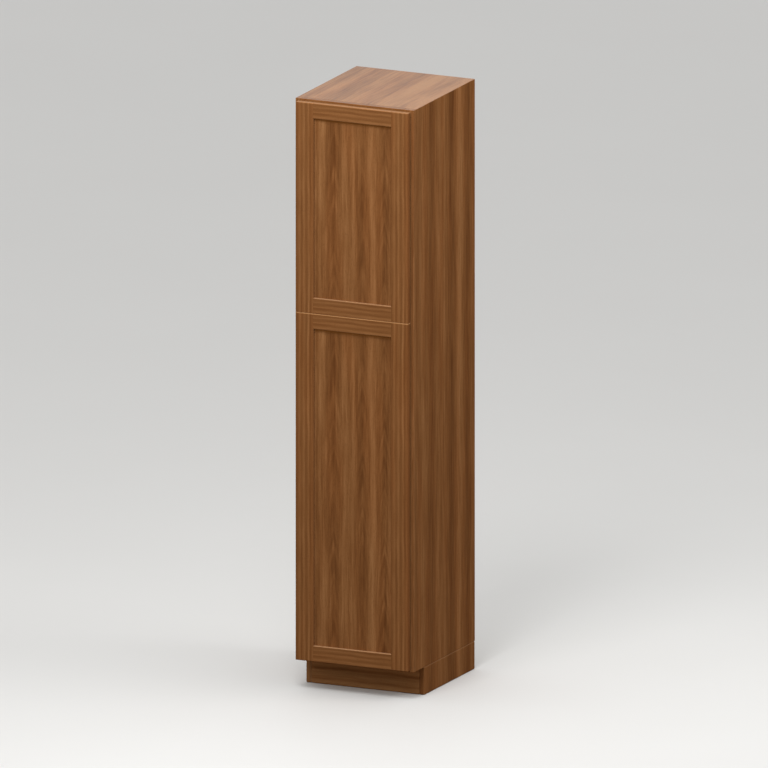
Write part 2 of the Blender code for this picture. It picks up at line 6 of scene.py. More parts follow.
import bpy
import numpy as np
from bpy.props import FloatProperty, FloatVectorProperty, PointerProperty
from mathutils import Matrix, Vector


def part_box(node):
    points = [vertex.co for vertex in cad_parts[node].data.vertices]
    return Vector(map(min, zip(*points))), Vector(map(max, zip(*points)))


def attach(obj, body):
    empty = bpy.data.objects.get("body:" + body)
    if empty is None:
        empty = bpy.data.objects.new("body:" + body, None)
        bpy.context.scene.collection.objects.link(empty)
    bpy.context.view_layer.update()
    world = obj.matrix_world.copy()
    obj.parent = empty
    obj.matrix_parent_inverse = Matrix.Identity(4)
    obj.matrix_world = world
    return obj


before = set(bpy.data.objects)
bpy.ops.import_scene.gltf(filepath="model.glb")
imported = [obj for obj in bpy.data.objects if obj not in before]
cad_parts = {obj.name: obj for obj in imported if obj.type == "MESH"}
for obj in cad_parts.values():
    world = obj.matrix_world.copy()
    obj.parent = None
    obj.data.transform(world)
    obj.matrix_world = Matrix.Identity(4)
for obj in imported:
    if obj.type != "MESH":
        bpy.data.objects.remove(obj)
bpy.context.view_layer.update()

bl_info = {
    "name": "Linen Cabinet Looks",
    "version": (1, 0, 0),
    "blender": (4, 5, 0),
    "location": "View3D > Sidebar > Linen Cabinet",
    "description": "Finishes, small hardware and studio for a tall linen cabinet with framed doors",
    "category": "Object",
}

DOORS = ("upper_door", "lower_door")
SIDES = ("left", "right")
LOOSE_SHELVES = ("upper_shelf_1", "lower_shelf_1", "lower_shelf_2")

# Object axes that lie across, through and along the grain of a board
UPRIGHT = ("X", "Y", "Z")
LEVEL = ("Z", "Y", "X")
FRONT_TO_BACK = ("X", "Z", "Y")
UPRIGHT_SIDE = ("Y", "X", "Z")

# Where the grain of the end panels and of the base's sides starts, so that it runs on between them
CABINET_ORIGIN = (0.0, 0.0, 0.0)

# Streaks of a board: place across it, half width (m) and how much paler they are
PANEL_STREAKS = (
    (-0.143, 0.006, -0.10),
    (-0.121, 0.016, 0.20),
    (-0.075, 0.018, -0.16),
    (-0.042, 0.007, 0.16),
    (-0.030, 0.006, 0.11),
    (-0.002, 0.010, 0.11),
    (0.034, 0.018, -0.18),
    (0.075, 0.016, 0.27),
    (0.121, 0.018, -0.20),
)
SIDE_STREAKS = (
    (-0.175, 0.020, 0.16),
    (-0.097, 0.028, -0.22),
    (-0.042, 0.020, 0.12),
    (0.013, 0.010, 0.08),
    (0.073, 0.032, -0.30),
    (0.136, 0.021, 0.34),
    (0.205, 0.025, -0.28),
)
TOP_STREAKS = (
    (0.034, 0.012, -0.14),
    (0.060, 0.015, 0.14),
    (0.118, 0.030, -0.30),
    (0.200, 0.030, 0.08),
    (0.270, 0.022, -0.26),
    (0.333, 0.024, 0.42),
    (0.390, 0.018, -0.14),
    (0.440, 0.020, 0.34),
)
STILE_STREAKS = (
    (0.0040, 0.0040, -0.12),
    (0.0135, 0.0045, 0.14),
    (0.0205, 0.0045, -0.14),
    (0.0297, 0.0050, 0.14),
    (0.0390, 0.0045, -0.15),
    (0.0475, 0.0042, 0.22),
    (0.0545, 0.0040, -0.13),
    (0.0610, 0.0030, 0.10),
    (0.0650, 0.0030, -0.06),
)
RAIL_STREAKS = (
    (0.0075, 0.0045, 0.16),
    (0.0160, 0.0045, -0.16),
    (0.0245, 0.0045, 0.14),
    (0.0335, 0.0045, -0.16),
    (0.0420, 0.0045, 0.18),
    (0.0505, 0.0045, -0.16),
)
KICK_STREAKS = (
    (0.0090, 0.0080, 0.20),
    (0.0235, 0.0080, -0.14),
    (0.0410, 0.0100, 0.08),
    (0.0590, 0.0050, -0.32),
    (0.0710, 0.0060, 0.18),
)

# How a board is cut: the axes of its grain, its streaks, the contrast and the level of its tone, and whether
# its dark streaks are flamed
Cut = namedtuple("Cut", "grain streaks contrast level flamed", defaults=((), 1.0, 0.5, False))
DOOR_PANEL = Cut(UPRIGHT, PANEL_STREAKS, 0.8, flamed=True)
DOOR_STILE = Cut(UPRIGHT, STILE_STREAKS, 0.5)
DOOR_RAIL = Cut(LEVEL, RAIL_STREAKS, 0.5)
PLAIN_STILE = Cut(UPRIGHT)
PLAIN_RAIL = Cut(LEVEL)
END_PANEL = Cut(UPRIGHT_SIDE, SIDE_STREAKS, 0.7)
# The top's tone level is set paler than the other boards as painted light that stands in for the light on
# the top
TOP_PANEL = Cut(FRONT_TO_BACK, TOP_STREAKS, 1.2, 0.74)
# The toe kick's tone level is set paler as painted light that lifts the shade under the overhang
TOE_KICK = Cut(LEVEL, KICK_STREAKS, 0.7, 0.76)

# An edge of a board with painted light or shade: an axis, a place on it, how far the paint reaches, its
# colour and its strength
Edge = namedtuple("Edge", "axis place reach tint strength")

# Strengths of the painted light and shade at those edges
# Painted highlights: a paler colour on the top edges of the doors and on the ledges under their panels
TOP_HIGHLIGHT_PAINT = {"upper_door": 0.26, "lower_door": 1.0}       # top edge of a door
LEDGE_HIGHLIGHT_PAINT = {"upper_door": 0.60, "lower_door": 0.72}  # ledge under a door's panel
# Painted light that lifts the shade on the left stile's inner edge
STILE_PAINTED_LIGHT = 0.3         # inner edge of a door's left stile
# Painted warm shade on the panel in the shadow under the top rail
RAIL_SHADE_PAINT = 0.8        # panel under the top rail
# Painted light that lifts the shade on the panel beside the left stile
PANEL_PAINTED_LIGHT = 0.6         # panel beside the left stile
# Painted light at the face frame's outer edges, and painted light that lifts the shade beside the doors
FRAME_PAINTED_LIGHT = 0.2         # outer edges of the face frame
REVEAL_PAINTED_LIGHT = 0.6        # face frame beside the doors
# Painted highlight on the base's top edges, and painted light that lifts the shade at the base's left front
BASE_TOP_HIGHLIGHT_PAINT = 0.5      # top edges of the base
BASE_FRONT_PAINTED_LIGHT = 0.6    # front of the base's left side, across its thickness
BASE_CORNER_PAINTED_LIGHT = 0.7   # inner edge of that front, beside the toe kick
# Painted light that lifts the shade at the toe kick's left end
KICK_PAINTED_LIGHT = 0.8          # left end of the toe kick

# Levels of noise between which a mark on a surface sets in
PORE_LEVELS = (0.60, 0.72)
RED_LEVELS = (0.35, 0.70)
FLAME_LEVELS = (0.35, 0.65)
FLECK_LEVELS = (0.62, 0.74)
PRINT_LEVELS = (0.30, 0.75)
CLOUD_LEVELS = (0.30, 0.70)
FLAKE_LEVELS = (0.45, 0.75)

# How strong each finer layer of noise is, as a share of the one before it
NOISE_ROUGHNESS = 0.55

# Strength of a streak along the grain, and of a flamed one: the least, and how much noise adds to it
SWELL_LEAST = 0.4
SWELL_RANGE = 1.2
FLAME_LEAST = 0.2
FLAME_RANGE = 1.6

# How far the red parts of a board are shifted across it (m), so that they don't follow its figure
RED_SHIFT = 0.31

# How much fibres and pores dull the lacquer, and how far they rise and drop in its relief
FIBRE_DULLNESS = 0.10
PORE_DULLNESS = 0.12
FIBRE_RISE = 0.5
PORE_DROP = 0.4

# Z of the normal from which a surface starts to face up, and from which it counts in full
UPWARD_LEVELS = (0.8, 0.95)

# Z of a direction from which the room's light starts to grow, and from which it is strongest
SKY_LEVELS = (0.0, 0.9)

# How far clouds and flakes cover the raw board of the back, and how much smoother its staples are
RAW_CLOUDS = 0.5
RAW_FLAKES = 0.6
STAPLE_SHINE = 0.15

# How much drawn lines and clouds dull the plate and the bumpers
PLATE_LINE_DULLNESS = 0.12
PLATE_CLOUD_DULLNESS = 0.10
BUMPER_CLOUD_DULLNESS = 0.20

# Fineness and fit of the small pieces
BAND_POINTS = 25
BAND_POWER = 8           # how square the section of an edge band is
BAND_SUNK = 0.0002
HEAD_RINGS = 18
HEAD_COLUMNS = 48
HEAD_SUNK = 0.0001
HEAD_DROP = 0.75         # share of its height that a screw head falls from its middle to its rim
SHARP_ANGLE = math.radians(35.0)
FLOOR_RINGS = 12
FLOOR_COLUMNS = 64

# Two axes across a screw, and the one along which its head stands up
CUP_SCREW_AXES = ((0.0, 0.0, 1.0), (1.0, 0.0, 0.0), (0.0, 1.0, 0.0))
PLATE_SCREW_AXES = ((0.0, 1.0, 0.0), (0.0, 0.0, 1.0), (1.0, 0.0, 0.0))


def colour(name, description, default):
    """A colour that a user may change."""
    return FloatVectorProperty(name=name, description=description, default=default, size=3, min=0.0, max=1.0,
                               subtype="COLOR")


def amount(name, description, default, high=1.0):
    """A plain number that a user may change."""
    return FloatProperty(name=name, description=description, default=default, min=0.0, max=high)


def length(name, description, default):
    """A length in metres that a user may change."""
    return FloatProperty(name=name, description=description, default=default, min=0.0, precision=5,
                         unit="LENGTH")


def spots(name, description, default):
    """The width of a mark across the grain and its length along it, in metres, which a user may change."""
    return FloatVectorProperty(name=name, description=description, default=default, size=2, min=0.0,
                               precision=5, unit="LENGTH")


def position(name, description, default):
    """A point in metres that a user may change."""
    return FloatVectorProperty(name=name, description=description, default=default, size=3, precision=5,
                               subtype="TRANSLATION", unit="LENGTH")


def power(name, description, default):
    """A lamp's power in watts that a user may change."""
    return FloatProperty(name=name, description=description, default=default, min=0.0, unit="POWER")


def angle(name, description, degrees):
    """An angle that a user may change."""
    return FloatProperty(name=name, description=description, default=math.radians(degrees), subtype="ANGLE")


class LinenStainSettings(bpy.types.PropertyGroup):
    """Stained and lacquered wood of the doors, frame, sides, top and base."""

    light: colour("Light grain", "Stain on the pale streaks of the wood", (0.347, 0.163, 0.0630))
    middle: colour("Middle grain", "Stain on most of the wood", (0.225, 0.093, 0.0312))
    dark: colour("Dark grain", "Stain on the dark streaks of the wood", (0.127, 0.047, 0.0146))
    pore: colour("Pores", "Stain that gathers in the pores", (0.080, 0.027, 0.008))
    # Painted highlight on the ledges under the door panels and the base's top edges, and painted light
    # beside the toe kick
    painted_light: colour("Rubbed edge", "Stain on edges that were sanded thin", (0.53, 0.295, 0.15))
    # Painted highlight on the top edges of the doors
    top_highlight: colour("Worn edge", "Stain on the top edges of the doors", (0.64, 0.33, 0.14))
    # Painted warm shade in the shadow under a door's top rail
    corner: colour("Corner", "Stain that gathers in the corner under a rail", (0.25, 0.09, 0.018))
    red: colour("Red tint", "Tint of the redder parts of a board", (1.0, 0.94, 0.90))
    roughness: amount("Lacquer roughness", "Roughness of the satin lacquer", 0.45)
    specular: amount("Lacquer reflection", "Strength of the reflection at the lacquer", 0.002)
    sheen: amount("Sheen", "Strength of the lacquer's sheen on surfaces that face up", 1.0)
    sheen_roughness: amount("Sheen roughness", "Roughness of the sheen on surfaces that face up", 0.45)
    relief: amount("Relief", "Strength of the grain's relief in the lacquer", 0.35)
    relief_depth: length("Relief depth", "Depth of the grain's relief in the lacquer", 0.0003)
    # How far painted light and highlights reach from an edge, and how far the painted shade under a rail
    # reaches
    paint_reach: length("Rubbed width", "How far the pale stain of an edge reaches on the faces beside it", 0.0022)
    corner_paint_width: length("Corner width", "How far the stain that gathers under a rail reaches", 0.006)
    wander: length("Wander", "How far the grain wanders sideways on its way", 0.010)
    wander_spots: spots("Wander size", "Width and length of the bends of the grain", (0.12, 0.9))
    flicker: length("Flicker", "How far the grain strays sideways in short waves", 0.005)
    flicker_spots: spots("Flicker size", "Width and length of the short waves", (0.03, 0.09))
    figure: amount("Figure", "Strength of the broad figure", 0.60)
    figure_spots: spots("Figure size", "Width and length of the broad figure", (0.034, 0.38))
    bands: amount("Bands", "Strength of the growth bands", 1.20, 2.0)
    band_spots: spots("Band size", "Width and length of the growth bands", (0.0085, 0.24))
    fibres: amount("Fibres", "Strength of the fibres", 0.90)
    fibre_spots: spots("Fibre size", "Width and length of the fibres", (0.0027, 0.085))
    swell_spots: spots("Swell size", "Width and length of the stronger parts of a streak", (0.05, 0.35))
    flame_spots: spots("Flame size", "Width and length of the flames in a dark streak", (0.02, 0.065))
    flame_fall: amount("Flame fall", "How steeply the legs of a flame fall away from its point", 5.0, 20.0)
    flame_round: length("Flame point", "How wide the point of a flame is rounded", 0.004)
    red_spots: spots("Red size", "Width and length of the redder parts of a board", (0.045, 0.6))
    pores: amount("Pore strength", "How far the stain in the pores covers the grain", 0.55)
    pore_spots: spots("Pore size", "Width and length of the pores", (0.0005, 0.011))


class LinenLaminateSettings(bpy.types.PropertyGroup):
    """Pale wood-look laminate inside the box and on the shelves, and the raw board of the back."""

    light: colour("Light grain", "Pale streaks of the laminate", (0.66, 0.49, 0.31))
    dark: colour("Dark grain", "Dark streaks of the laminate", (0.53, 0.37, 0.215))
    core: colour("Core", "Pressed wood that shows at a raw edge", (0.42, 0.29, 0.17))
    cloud: colour("Raw clouds", "Darker clouds of the raw board", (0.294, 0.203, 0.119))
    flake: colour("Raw flakes", "Dark flakes of the raw board", (0.252, 0.174, 0.102))
    roughness: amount("Roughness", "Roughness of the laminate", 0.45)
    flecks: amount("Flecks", "Strength of the short flecks in the print", 0.25)
    broad_spots: spots("Broad grain size", "Width and length of the print's broad streaks", (0.035, 0.6))
    fine_spots: spots("Fine grain size", "Width and length of the print's fine streaks", (0.0035, 0.16))
    fleck_spots: spots("Fleck size", "Width and length of the print's flecks", (0.0007, 0.010))
    cloud_spots: spots("Raw cloud size", "Size of the raw board's clouds", (0.045, 0.045))
    flake_spots: spots("Raw flake size", "Size of the raw board's flakes", (0.006, 0.006))
    skin: length("Skin", "Depth of the laminate on the inner side of an end panel", 0.0012)
    raw_depth: length("Raw depth", "Depth of the bare core at the rear edge of an end panel", 0.0005)
    band: length("Edge band", "Thickness of the band on the front edge of a shelf", 0.0005)
    staple_inset: length("Staple inset", "From the edges of the back to its staples", 0.0055)
    staple_pitch: length("Staple pitch", "From one staple to the next", 0.15)
    staple_length: length("Staple length", "Length of a staple's crown", 0.010)
    staple_width: length("Staple width", "Width of a staple's crown", 0.0012)


class LinenHardwareSettings(bpy.types.PropertyGroup):
    """Hinges, pins, screws and bumpers."""

    plate: colour("Plated steel", "Nickel plate of hinges, pins and screws", (0.62, 0.60, 0.57))
    tarnish: colour("Cloudy plate", "Nickel plate where it is cloudy", (0.5332, 0.516, 0.4902))
    clear: colour("Bumper", "Soft clear plastic of the bumpers", (0.82, 0.83, 0.80))
    cloudy: colour("Cloudy bumper", "Plastic of the bumpers where it is cloudy", (0.70, 0.71, 0.68))
    plate_roughness: amount("Plate roughness", "Least roughness of the plate", 0.22)
    bumper_roughness: amount("Bumper roughness", "Least roughness of the bumpers", 0.25)
    line_spots: spots("Line size", "Width and length of the drawn lines in the plate", (0.0003, 0.008))
    line_relief: amount("Line relief", "Strength of the drawn lines' relief", 0.15)
    line_depth: length("Line depth", "Depth of the drawn lines", 0.0001)
    cloud_spots: spots("Plate cloud size", "Size of the clouds in the plate", (0.006, 0.006))
    bumper_spots: spots("Bumper cloud size", "Size of the clouds in the bumpers", (0.002, 0.002))
    ear_rise: length("Flange screw rise", "From the middle of a hinge cup to its screws", 0.0226)
    plate_rise: length("Plate screw rise", "From the middle of a mounting plate to its screws", 0.015)
    plate_inset: length("Plate screw inset", "From the rear edge of a mounting plate to its screws", 0.009)
    arm_step: length("Arm step", "How far the hinge arm stands out from its mounting plate", 0.0008)
    head_radius: length("Screw head radius", "Radius of a hinge screw's head", 0.0032)
    head_height: length("Screw head height", "Height of a hinge screw's head", 0.0011)
    cross_reach: length("Cross reach", "Length of an arm of the cross in a screw head", 0.0018)
    cross_width: length("Cross width", "Half width of the cross in a screw head", 0.0004)
    cross_depth: length("Cross depth", "Depth of the cross in a screw head", 0.0007)


class LinenStageSettings(bpy.types.PropertyGroup):
    """Floor, light and camera."""

    floor: colour("Floor", "Pale studio floor as the camera and reflections see it", (0.75, 0.745, 0.73))
    floor_cloud: colour("Floor clouds", "Darker clouds of that floor", (0.62, 0.61, 0.59))
    bounce: colour("Floor bounce", "Floor as it throws light back on the cabinet", (0.215, 0.18, 0.135))
    backdrop: colour("Backdrop", "Pale room as the camera and reflections see it", (1.0, 1.0, 0.99))
    horizon: colour("Room light, low", "Light of the room at the horizon", (0.35, 0.35, 0.35))
    zenith: colour("Room light, high", "Light of the room from straight above", (0.85, 0.85, 0.85))
    clouds: amount("Cloud strength", "How far the floor's clouds cover it", 0.15)
    cloud_spots: spots("Floor cloud size", "Size of the floor's clouds", (0.8, 0.8))
    floor_roughness: amount("Floor roughness", "Roughness of the floor", 0.65)
    floor_specular: amount("Floor reflection", "Strength of the reflection at the floor", 0.2)
    floor_radius: length("Floor radius", "Radius of the round floor", 16.0)
    key: power("Key light", "Power of the lamp above the front", 83.5)
    key_place: position("Key place", "Where the lamp above the front hangs", (0.3, -2.3, 4.7))
    front: power("Front light", "Power of the lamp before the doors", 17.0)
    front_place: position("Front place", "Where the lamp before the doors hangs", (0.2, -3.0, 2.2))
    side: power("Side light", "Power of the lamp beside the right end panel", 28.0)
    side_place: position("Side place", "Where the lamp beside the right end panel hangs", (2.6, 0.35, 2.9))
    lamp_size: length("Lamp size", "Diameter of each lamp", 1.6)
    lamp_aim: position("Lamp aim", "Point that every lamp points at", (0.0, 0.0, 1.2))
    azimuth: angle("View azimuth", "How far the camera stands to the right of the front", 24.615)
    elevation: angle("View elevation", "How far the camera stands above the horizon", 13.816)
    view_height: length("View height", "Height of the picture at the cabinet", 2.69691)
    view_aim: position("View aim", "Point in the middle of the picture", (0.00025, 0.0, 1.0668))
    distance: length("Camera distance", "From that point to the camera", 6.0)


class Value:
    """A socket of a node tree. Arithmetic on values adds Math nodes."""

    def __init__(self, nodes, socket):
        self.nodes = nodes
        self.socket = socket

    def output(self, name):
        """Another output of the same node."""
        return Value(self.nodes, self.socket.node.outputs[name])

    def math(self, operation, first, second):
        """A Math node on two values or numbers."""
        return self.nodes.add("ShaderNodeMath", {"operation": operation}, {0: first, 1: second})

    def __add__(self, other):
        return self.math("ADD", self, other)

    def __radd__(self, other):
        return self.math("ADD", other, self)

    def __sub__(self, other):
        return self.math("SUBTRACT", self, other)

    def __rsub__(self, other):
        return self.math("SUBTRACT", other, self)

    def __mul__(self, other):
        return self.math("MULTIPLY", self, other)

    def __rmul__(self, other):
        return self.math("MULTIPLY", other, self)

    def __truediv__(self, other):
        return self.math("DIVIDE", self, other)

    def __rtruediv__(self, other):
        return self.math("DIVIDE", other, self)

    def __gt__(self, other):
        return self.math("GREATER_THAN", self, other)

    def __lt__(self, other):
        return self.math("LESS_THAN", self, other)

    def __abs__(self):
        return self.math("ABSOLUTE", self, 0.0)

    def bell(self):
        """1 where the value is 0, falling smoothly to 0 on both sides: 1 over e to the value squared."""
        return 1.0 / self.math("POWER", math.e, self * self)

    def zigzag(self, reach):
        """The value folded back and forth between 0 and reach."""
        return self.math("PINGPONG", self, reach)

    def step(self, low, high):
        """0 at low, 1 at high and a smooth step between them."""
        return self.nodes.add("ShaderNodeMapRange", {"interpolation_type": "SMOOTHSTEP"},
                              {"Value": self, "From Min": low, "From Max": high})


class Nodes:
    """A node tree that gets its nodes from one method."""

    def __init__(self, tree):
        self.tree = tree

    def add(self, kind, settings=None, sockets=None):
        """Add a node: its settings are set first, then its sockets get values or links."""
        node = self.tree.nodes.new(kind)
        for name, value in (settings or {}).items():
            if name == "stops":
                self.set_stops(node.color_ramp, value)
            else:
                setattr(node, name, value)
        for name, value in (sockets or {}).items():
            self.feed(node.inputs[name], value)
        return Value(self, node.outputs[0])

    def set_stops(self, ramp, stops):
        """Give a colour ramp its stops, each a place and a colour."""
        while len(ramp.elements) < len(stops):
            ramp.elements.new(1.0)
        for element, (place, shade) in zip(ramp.elements, stops):
            element.position = place
            element.color = (*shade, 1.0)

    def feed(self, socket, value):
        """Link a value to a socket, or set the socket to a number or a colour."""
        if isinstance(value, Value):
            self.tree.links.new(value.socket, socket)
        elif socket.type == "RGBA":
            socket.default_value = (*value, 1.0)
        else:
            socket.default_value = value

    def seen(self):
        """1 for rays from the camera, also by way of a reflection or through glass."""
        rays = self.add("ShaderNodeLightPath")
        kinds = ("Camera", "Glossy", "Transmission")
        camera, glossy, glass = [rays.output(f"Is {kind} Ray") for kind in kinds]
        return camera + glossy + glass

    def mix(self, factor, first, second, blend="MIX"):
        """A blend of two colours."""
        return self.add("ShaderNodeMix", {"data_type": "RGBA", "blend_type": blend},
                        {0: factor, 6: first, 7: second}).output(2)


class Finish(Nodes):
    """A material on the Principled shader."""

    def __init__(self, name):
        self.material = bpy.data.materials.new(name)
        self.material.use_nodes = True
        super().__init__(self.material.node_tree)
        self.shader = self.tree.nodes["Principled BSDF"]

    def set(self, **sockets):
        """Feed sockets of the shader, named in capitals with _ for a space."""
        for name, value in sockets.items():
            self.feed(self.shader.inputs[name.replace("_", " ")], value)

    def axes(self, names):
        """Object coordinates along the named axes."""
        place = self.add("ShaderNodeTexCoord").output("Object")
        parts = self.add("ShaderNodeSeparateXYZ", sockets={"Vector": place})
        return [parts.output(name) for name in names]

    def noise(self, place, size, detail=1.0):
        """Noise between 0 and 1 at a place (across, through, along), in spots of a width and a length."""
        across, through, along = place
        width, run = size
        vector = self.add("ShaderNodeCombineXYZ",
                          sockets={"X": across / width, "Y": through / width, "Z": along / run})
        return self.add("ShaderNodeTexNoise", sockets={"Vector": vector, "Scale": 1.0, "Detail": detail,
                                                       "Roughness": NOISE_ROUGHNESS})

    def swing(self, place, size, detail=1.0):
        """The same noise about 0."""
        return self.noise(place, size, detail) - 0.5

    def relief(self, height, depth, strength):
        """Bump from a height between 0 and 1."""
        self.set(Normal=self.add("ShaderNodeBump",
                                 sockets={"Strength": strength, "Distance": depth, "Height": height}))


def dress(node, finish):
    """Give a node of the frame its finish."""
    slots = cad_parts[node].material_slots
    if not slots:
        raise RuntimeError(f"{node} has no material slot")
    for slot in slots:
        slot.material = finish.material


def nodes_with(*parts):
    """Nodes of the frame whose names hold one of the parts, in the order of their names."""
    found = [node for node in sorted(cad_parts) if any(part in node for part in parts)]
    if not found:
        raise RuntimeError(f"the frame has no node with {parts} in its name")
    return found


def outer_face(node):
    """Where the outer side of a left or right board lies on the X axis."""
    low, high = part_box(node)
    return high.x if high.x + low.x > 0.0 else low.x


def flames(finish, offset, through, along, seed):
    """Strength of a dark streak at an offset from its middle: pointed arches, one above the other.

    An arch is noise along a line that falls by F x^2 / (|x| + R) at the offset x, so that it is round at its
    point and straight in its legs.
    """
    stain = bpy.context.scene.linen_stain
    arch = along + stain.flame_fall * offset * offset / (abs(offset) + stain.flame_round)
    flame = finish.noise((seed, through, arch), stain.flame_spots).step(*FLAME_LEVELS)
    return FLAME_LEAST + FLAME_RANGE * flame


def stained_wood(node, cut, origin, edges=()):
    """Finish and shade of one stained board, whose grain starts at an origin (across, through, along).

    Tone = level + contrast * (figure + bands + fibres) + the board's streaks. The first three are noise
    drawn out along the grain, a streak is a bell curve across it, and all of them wander sideways together.
    Tone picks the stain between dark, middle and light. Pores are fine noise cut off at a level. An edge
    takes its painted light or shade by a bell curve about its place.
    """
    stain = bpy.context.scene.linen_stain
    finish = Finish(f"stained_{node}")
    axes = finish.axes(cut.grain)
    straight = [axis - start for axis, start in zip(axes, origin)]
    sway = finish.swing(straight, stain.wander_spots)
    waves = finish.swing(straight, stain.flicker_spots)
    across, through, along = straight
    across = across + stain.wander * sway + stain.flicker * waves
    place = (across, through, along)
    figure = finish.swing(place, stain.figure_spots)
    bands = finish.swing(place, stain.band_spots, detail=2.0)
    fibres = finish.swing(place, stain.fibre_spots, detail=2.0)
    pores = finish.noise(place, stain.pore_spots).step(*PORE_LEVELS)
    tone = cut.level + cut.contrast * (stain.figure * figure + stain.bands * bands + stain.fibres * fibres)
    swell = SWELL_LEAST + SWELL_RANGE * finish.noise(place, stain.swell_spots)
    for centre, half_width, strength in cut.streaks:
        offset = across - centre
        size = swell
        if cut.flamed and strength < 0.0:
            size = flames(finish, offset, through, axes[2], centre)
        tone = tone + strength * size * (offset / half_width).bell()
    stops = ((0.0, stain.dark), (0.5, stain.middle), (1.0, stain.light))
    shade = finish.add("ShaderNodeValToRGB", {"stops": stops}, {"Fac": tone})
    redness = finish.noise((across + RED_SHIFT, through, along), stain.red_spots).step(*RED_LEVELS)
    shade = finish.mix(redness, shade, stain.red, "MULTIPLY")
    shade = finish.mix(stain.pores * pores, shade, stain.pore)
    # Painted light, highlights and shade along the edges
    for edge in edges:
        nearness = ((finish.axes(edge.axis)[0] - edge.place) / edge.reach).bell()
        shade = finish.mix(edge.strength * nearness, shade, edge.tint)
    normal = finish.add("ShaderNodeNewGeometry").output("Normal")
    upward = finish.add("ShaderNodeSeparateXYZ", sockets={"Vector": normal}).output("Z")
    finish.set(Base_Color=shade, Roughness=stain.roughness + FIBRE_DULLNESS * fibres + PORE_DULLNESS * pores,
               Specular_IOR_Level=stain.specular, Coat_Weight=stain.sheen * upward.step(*UPWARD_LEVELS),
               Coat_Roughness=stain.sheen_roughness)
    finish.relief(0.5 + FIBRE_RISE * fibres - PORE_DROP * pores, stain.relief_depth, stain.relief)
    return finish, shade


def stain_board(node, cut, edges=(), origin=None):
    """Stain one board. Without an origin, its grain starts at its own lowest corner."""
    if origin is None:
        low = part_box(node)[0]
        origin = [low["XYZ".index(axis)] for axis in cut.grain]
    finish = stained_wood(node, cut, origin, edges)[0]
    dress(node, finish)


def laminate(finish, grain):
    """Shade of pale laminate: its print is noise drawn out along the grain, in broad and fine streaks."""
    pale = bpy.context.scene.linen_laminate
    place = finish.axes(grain)
    broad = finish.noise(place, pale.broad_spots)
    fine = finish.noise(place, pale.fine_spots, detail=2.0)
    flecks = finish.noise(place, pale.fleck_spots).step(*FLECK_LEVELS)
    tone = 0.5 * (broad + fine) + pale.flecks * flecks
    return finish.mix(tone.step(*PRINT_LEVELS), pale.light, pale.dark)


def laminated(name, grain):
    """A finish of pale laminate all over."""
    finish = Finish(name)
    finish.set(Base_Color=laminate(finish, grain), Roughness=bpy.context.scene.linen_laminate.roughness)
    return finish


def nickel_plate(name):
    """Nickel-plated steel with faint drawn lines and cloudy gloss."""
    hardware = bpy.context.scene.linen_hardware
    finish = Finish(name)
    place = finish.axes("XYZ")
    lines = finish.noise(place, hardware.line_spots, detail=2.0)
    cloud = finish.noise(place, hardware.cloud_spots, detail=2.0)
    tint = finish.mix(cloud.step(*CLOUD_LEVELS), hardware.plate, hardware.tarnish)
    dullness = PLATE_LINE_DULLNESS * lines + PLATE_CLOUD_DULLNESS * cloud
    finish.set(Base_Color=tint, Metallic=1.0, Roughness=hardware.plate_roughness + dullness)
    finish.relief(lines, hardware.line_depth, hardware.line_relief)
    return finish


def add_piece(name, points, faces, body, finish):
    """Add a closed surface as a piece that rides on a body of the frame."""
    mesh = bpy.data.meshes.new(name)
    mesh.from_pydata(points, [], faces)
    mesh.materials.append(finish.material)
    mesh.shade_smooth()
    mesh.set_sharp_from_angle(angle=SHARP_ANGLE)
    piece = bpy.data.objects.new(name, mesh)
    bpy.context.scene.collection.objects.link(piece)
    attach(piece, body)


def edge_band(low, high, thickness):
    """Points and faces of a band along the front edge of a board between two corners.

    Its section stands out from the edge by thickness * (1 - u^P), for u from -1 to 1 up the edge and the
    power P, is closed a little inside the board, and is carried along X.
    """
    up = np.linspace(-1.0, 1.0, BAND_POINTS)
    half = 0.5 * (high.z - low.z) - thickness
    seat = low.y + BAND_SUNK
    depth = np.concatenate([seat - (thickness + BAND_SUNK) * (1.0 - up ** BAND_POWER), [seat]])
    level = 0.5 * (high.z + low.z) + half * np.concatenate([up, [0.0]])
    ends = np.array([low.x + thickness, high.x - thickness])
    points = np.stack(np.broadcast_arrays(ends[:, None], depth, level), axis=-1)
    number = np.arange(2 * depth.size).reshape(2, -1)
    after = np.roll(number, -1, axis=1)
    walls = np.stack([number[0], number[1], after[1], after[0]], axis=-1)
    return points.reshape(-1, 3), walls.tolist() + [number[0].tolist(), number[1][::-1].tolist()]


def within(across, reach):
    """1 well within a reach and 0 well outside it, with a straight slope from 3/4 to 5/4 of the reach."""
    return np.clip(2.5 - 2.0 * np.abs(across) / reach, 0.0, 1.0)


